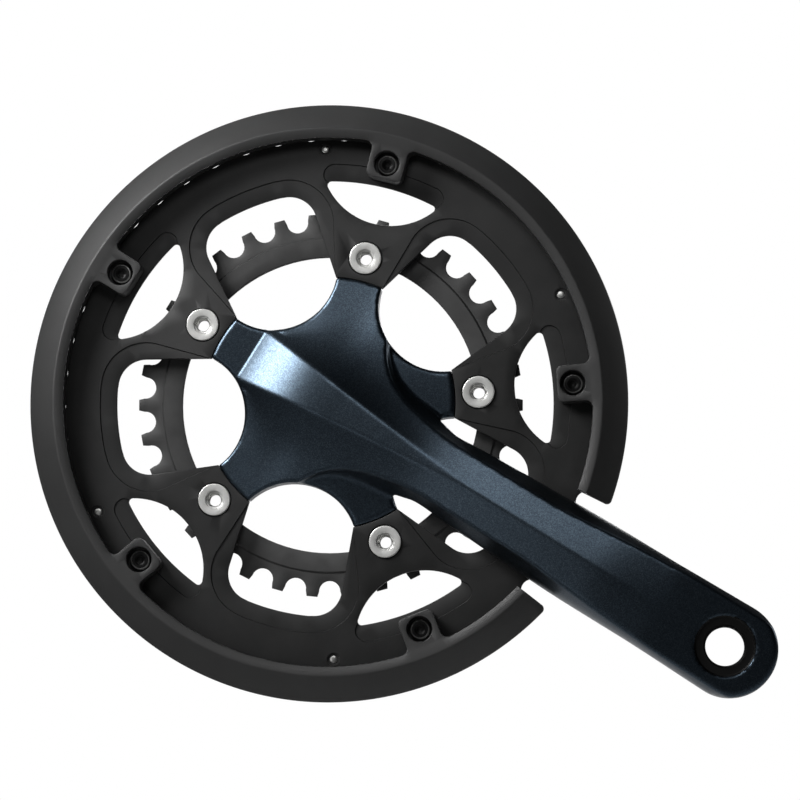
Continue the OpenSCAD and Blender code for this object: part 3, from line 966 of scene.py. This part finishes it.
def make_bolts():
    """Bolt heads with a turned face, a round recess and a hex socket; the middle is open."""
    for i, (a, c) in enumerate(zip(BOLT_ANGLES, at_radius(BOLT_R, BOLT_ANGLES))):
        f = BOLT_FACE
        hexed = hexagon(BOLT_KEY)
        rings = [(4, BOLT_LOW + 0.3), (4, HEAD_SEAT), (5.6, HEAD_SEAT), (5.9, HEAD_SEAT + 0.25),
                 (5.9, f - 0.38), (5.8, f - 0.14), (5.6, f - 0.02), (5.45, f),
                 (3.55, f - 0.06), (3.3, f - 0.16), (3.2, f - 0.34), (3.2, f - 0.85), (3.1, f - 0.9),
                 (hexed + 0.12, f - 0.92), (hexed, f - 1.1), (hexed, f - 4),
                 (2.5, f - 4.15), (2.15, f - 4.4), (2.15, BOLT_LOW), (3.7, BOLT_LOW)]
        points, faces = lathe(rings[::-1], 72, c)
        make_piece("chainring_bolt_%d" % (i + 1), points, faces, [BOLT_SILVER[a]], "crank",
                   ["chainring_bolts"] if i == 0 else (), 28)


def make_guard_screws():
    """Black socket-head screws whose rim chamfer is coloured bright steel, a painted edge highlight."""
    for i, c in enumerate(at_radius(SCREW_AT, BOLT_ANGLES)):
        f = SCREW_FACE
        hexed = hexagon(SCREW_KEY)
        rings = [(2, SCREW_LOW + 0.3), (2, LUG_FLOOR), (3.4, LUG_FLOOR), (3.6, LUG_FLOOR + 0.2),
                 (3.6, f - 0.42), (3.35, f - 0.12), (3.05, f), (2.0, f), (1.75, f - 0.2),
                 (hexed, f - 0.32), (hexed, f - 1.7), (0.9, f - 1.9), (0.05, f - 2.0)]
        steps = 72
        points, faces = lathe(rings, steps, c, closed=False)
        faces = [face[::-1] for face in faces]
        low = len(points)
        points = np.concatenate([points, [[c[0], c[1], SCREW_LOW], [c[0], c[1], f - 2.0]]])
        last = (len(rings) - 1) * steps
        faces += [((k + 1) % steps, k, low)[::-1] for k in range(steps)]
        faces += [(last + k, last + (k + 1) % steps, low + 1)[::-1] for k in range(steps)]
        # Bands 4 and 5 are the rim chamfer, coloured bright steel as a painted edge highlight
        bands = np.arange(len(faces)) // steps
        painted_highlight_bands = np.isin(bands, [4, 5]).astype(int)
        make_piece("guard_screw_%d" % (i + 1), points, faces, [BLACK_STEEL, PAINTED_HIGHLIGHT_STEEL], "crank",
                   ["guard_screws"] if i == 0 else (), 28, painted_highlight_bands)


def make_shift_pins():
    """Riveted pins with slightly domed, peened heads."""
    for i, c in enumerate(at_radius(PIN_AT, PIN_ANGLES)):
        rings = [(0.05, PIN_LOW), (1.2, PIN_LOW), (1.4, PIN_LOW + 0.2), (1.4, PIN_FACE - 0.3),
                 (1.25, PIN_FACE - 0.12), (0.9, PIN_FACE - 0.03), (0.4, PIN_FACE), (0.05, PIN_FACE)]
        steps = 36
        points, faces = lathe(rings, steps, c, closed=False)
        count = len(points)
        points = np.concatenate([points, [[c[0], c[1], PIN_LOW], [c[0], c[1], PIN_FACE]]])
        last = (len(rings) - 1) * steps
        faces += [((k + 1) % steps, k, count) for k in range(steps)]
        faces += [(last + k, last + (k + 1) % steps, count + 1) for k in range(steps)]
        make_piece("shift_pin_%d" % (i + 1), points, faces, [BRIGHT_STEEL], "crank",
                   ["shift_pins"] if i == 0 else (), 28)


# ---- chain guard ----

def lug_half():
    """Half of a lug's outline, from the guard's inner circle to the lug's inner end."""
    fy = LUG_HALF + LUG_CORNER
    fx = math.sqrt((GUARD_INNER_R - LUG_CORNER) ** 2 - fy ** 2)
    lean = math.degrees(math.atan2(fy, fx))
    root = arc((fx, fy), LUG_CORNER, lean, -90, 10)
    corner = arc((LUG_R + LUG_CORNER, LUG_HALF - LUG_CORNER), LUG_CORNER, 90, 180, 10)
    return np.concatenate([root, corner]), lean


def guard_outline():
    """One closed line: the outer circle, the two ends at the gap, and the inner circle with its lugs."""
    mouth = GAP_MOUTH_R
    outer_y = GAP_HALF + 0.5
    inner_y = GAP_HALF - 0.5
    start = math.degrees(math.asin((outer_y + mouth) / GUARD_R))
    outer = arc((0, 0), GUARD_R, start, 360 - start, 300)
    corner_x = math.sqrt((GUARD_R - mouth) ** 2 - (outer_y + mouth) ** 2)
    corner = arc((corner_x, outer_y + mouth), mouth, start, -92, 8)
    inner_start = math.degrees(math.asin(inner_y / GUARD_INNER_R))
    half, lean = lug_half()
    lug = np.concatenate([half * [1, -1], half[::-1]])
    inner = []
    at = inner_start
    for a in BOLT_ANGLES:
        here = math.degrees(a)
        inner.append(arc((0, 0), GUARD_INNER_R, at, here - lean, max(4, int((here - lean - at) / 1.5)))[:-1])
        inner.append(turned(lug, a))
        at = here + lean
    inner.append(arc((0, 0), GUARD_INNER_R, at, 360 - inner_start, 12)[1:])
    inner = np.concatenate(inner)
    return np.concatenate([outer, (corner * [1, -1])[1:], inner[::-1], corner[::-1][:-1]])


def guard_front(p):
    r = np.linalg.norm(p, axis=1)
    bevel = GUARD_BEVEL_R
    return np.interp(r, [LUG_R, GUARD_INNER_R, bevel - 0.5, bevel, bevel + 0.5, GUARD_R],
                     [GUARD_FRONT - 1.2, GUARD_FRONT - 1.1, GUARD_FRONT - 0.03, GUARD_FRONT - 0.1,
                      GUARD_FRONT - 0.45, GUARD_BACK + GUARD_EDGE])


def guard_back(p):
    r = np.linalg.norm(p, axis=1)
    wall_in = GUARD_INNER_R + GUARD_WALL
    wall_out = GUARD_R - GUARD_WALL - 0.8
    return np.interp(
        r, [GUARD_INNER_R - 0.06, GUARD_INNER_R, wall_in, wall_in + 0.05,
            GUARD_BEVEL_R, wall_out - 0.05, wall_out],
        [RIM_FRONT, GUARD_BACK, GUARD_BACK, GUARD_FRONT - GUARD_WALL - 0.5, GUARD_FRONT - GUARD_WALL,
         GUARD_BACK + 0.4, GUARD_BACK])


def make_guard():
    front = Side(guard_front)
    front.rings(GUARD_INNER_R, GUARD_BEVEL_R - 0.5, GUARD_BEVEL_R, GUARD_BEVEL_R + 0.5, 104, steps=300)
    back = Side(guard_back)
    wall_in = GUARD_INNER_R + GUARD_WALL
    wall_out = GUARD_R - GUARD_WALL - 0.8
    back.rings(GUARD_INNER_R - 0.06, wall_in, wall_in + 0.05, GUARD_BEVEL_R, wall_out - 0.05, wall_out,
               steps=300)
    holes = []
    for c in at_radius(SCREW_AT, BOLT_ANGLES):
        holes.append(circle(c, 2.2, 32))
        lip = guard_front(c[None, :])[0]
        front.round_zone(c, [(0, LUG_FLOOR), (4.6, LUG_FLOOR), (4.65, lip - 0.3), (4.75, lip - 0.1),
                             (4.95, lip)])
    points, faces = plate(guard_outline(), holes, front, back, 0.45, 0.2, None)
    make_piece("chain_guard_moulding", points, faces, [GUARD_PLASTIC], "crank",
               ["chain_guard"], 32)


# ---- stage ----

def aim(thing, target):
    direction = Vector(target) - thing.location
    thing.rotation_euler = direction.to_track_quat("-Z", "Y").to_euler()


def soft_light(name, place, target, size, power, spread=180):
    light = bpy.data.lights.new(name, "AREA")
    light.shape = "DISK"
    light.size = size
    light.energy = power
    light.spread = math.radians(spread)
    thing = bpy.data.objects.new(name, light)
    thing.location = place
    bpy.context.scene.collection.objects.link(thing)
    aim(thing, target)
    return thing


def make_camera():
    target = Vector((0.0261, -0.0492, 0.0010))
    distance = 1.8
    side, rise = math.radians(3), math.radians(-4.7)
    away = Vector((math.sin(side) * math.cos(rise), -math.cos(side) * math.cos(rise), math.sin(rise)))
    camera = bpy.data.cameras.new("camera")
    camera.lens = 221
    camera.sensor_width = 36
    thing = bpy.data.objects.new("camera", camera)
    thing.location = target + distance * away
    bpy.context.scene.collection.objects.link(thing)
    aim(thing, target)
    bpy.context.scene.camera = thing


def make_world():
    """White behind the object, and a dim even light from all round."""
    world = bpy.data.worlds.new("studio")
    bpy.context.scene.world = world
    world.use_nodes = True
    tree = world.node_tree
    dim = tree.nodes["Background"]
    dim.inputs["Color"].default_value = (0.9, 0.95, 1, 1)
    dim.inputs["Strength"].default_value = 0.015
    white = tree.nodes.new("ShaderNodeBackground")
    white.inputs["Color"].default_value = (1, 1, 1, 1)
    white.inputs["Strength"].default_value = 1
    path = tree.nodes.new("ShaderNodeLightPath")
    mix = tree.nodes.new("ShaderNodeMixShader")
    tree.links.new(path.outputs["Is Camera Ray"], mix.inputs["Fac"])
    tree.links.new(dim.outputs["Background"], mix.inputs[1])
    tree.links.new(white.outputs["Background"], mix.inputs[2])
    tree.links.new(mix.outputs["Shader"], tree.nodes["World Output"].inputs["Surface"])


def make_floor():
    half = 1.5
    z = -0.2
    mesh = bpy.data.meshes.new("floor")
    corners = [(-half, -half, z), (half, -half, z), (half, half, z), (-half, half, z)]
    mesh.from_pydata(corners, [], [(0, 1, 2, 3)])
    paper = new_material("floor_paper", grey(0.8), 0, 0.8)
    n = Nodes(paper)
    n.ramp(n.noise(4, 3), [(0.3, grey(0.78)), (0.7, grey(0.84))], "Base Color")
    mesh.materials.append(paper)
    floor = bpy.data.objects.new("floor", mesh)
    bpy.context.scene.collection.objects.link(floor)


make_camera()
make_world()
make_floor()
soft_light("key", (-0.28, -0.3, 0.24), (0, -0.05, 0), 0.24, 0.33, 50)
soft_light("front", (0.01, -0.6, 0.234), (0, -0.05, 0), 0.16, 0.32)
soft_light("low", (-0.21, -0.6, -0.1), (0, -0.05, 0), 0.16, 0.09)
soft_light("top", (0, 0.3, 1.3), (0, 0.1, 0), 1.2, 2)
soft_light("back", (-0.1, 0.9, 0.35), (0, 0, 0), 0.7, 4)
soft_light("right", (0.9, 0.4, 0.3), (0, 0, 0), 0.5, 1.5)
bpy.context.scene.view_settings.view_transform = "Standard"

make_crank_arm()
make_pedal_eye()
make_big_chainring()
make_small_chainring()
make_bolts()
make_guard_screws()
make_shift_pins()
make_guard()
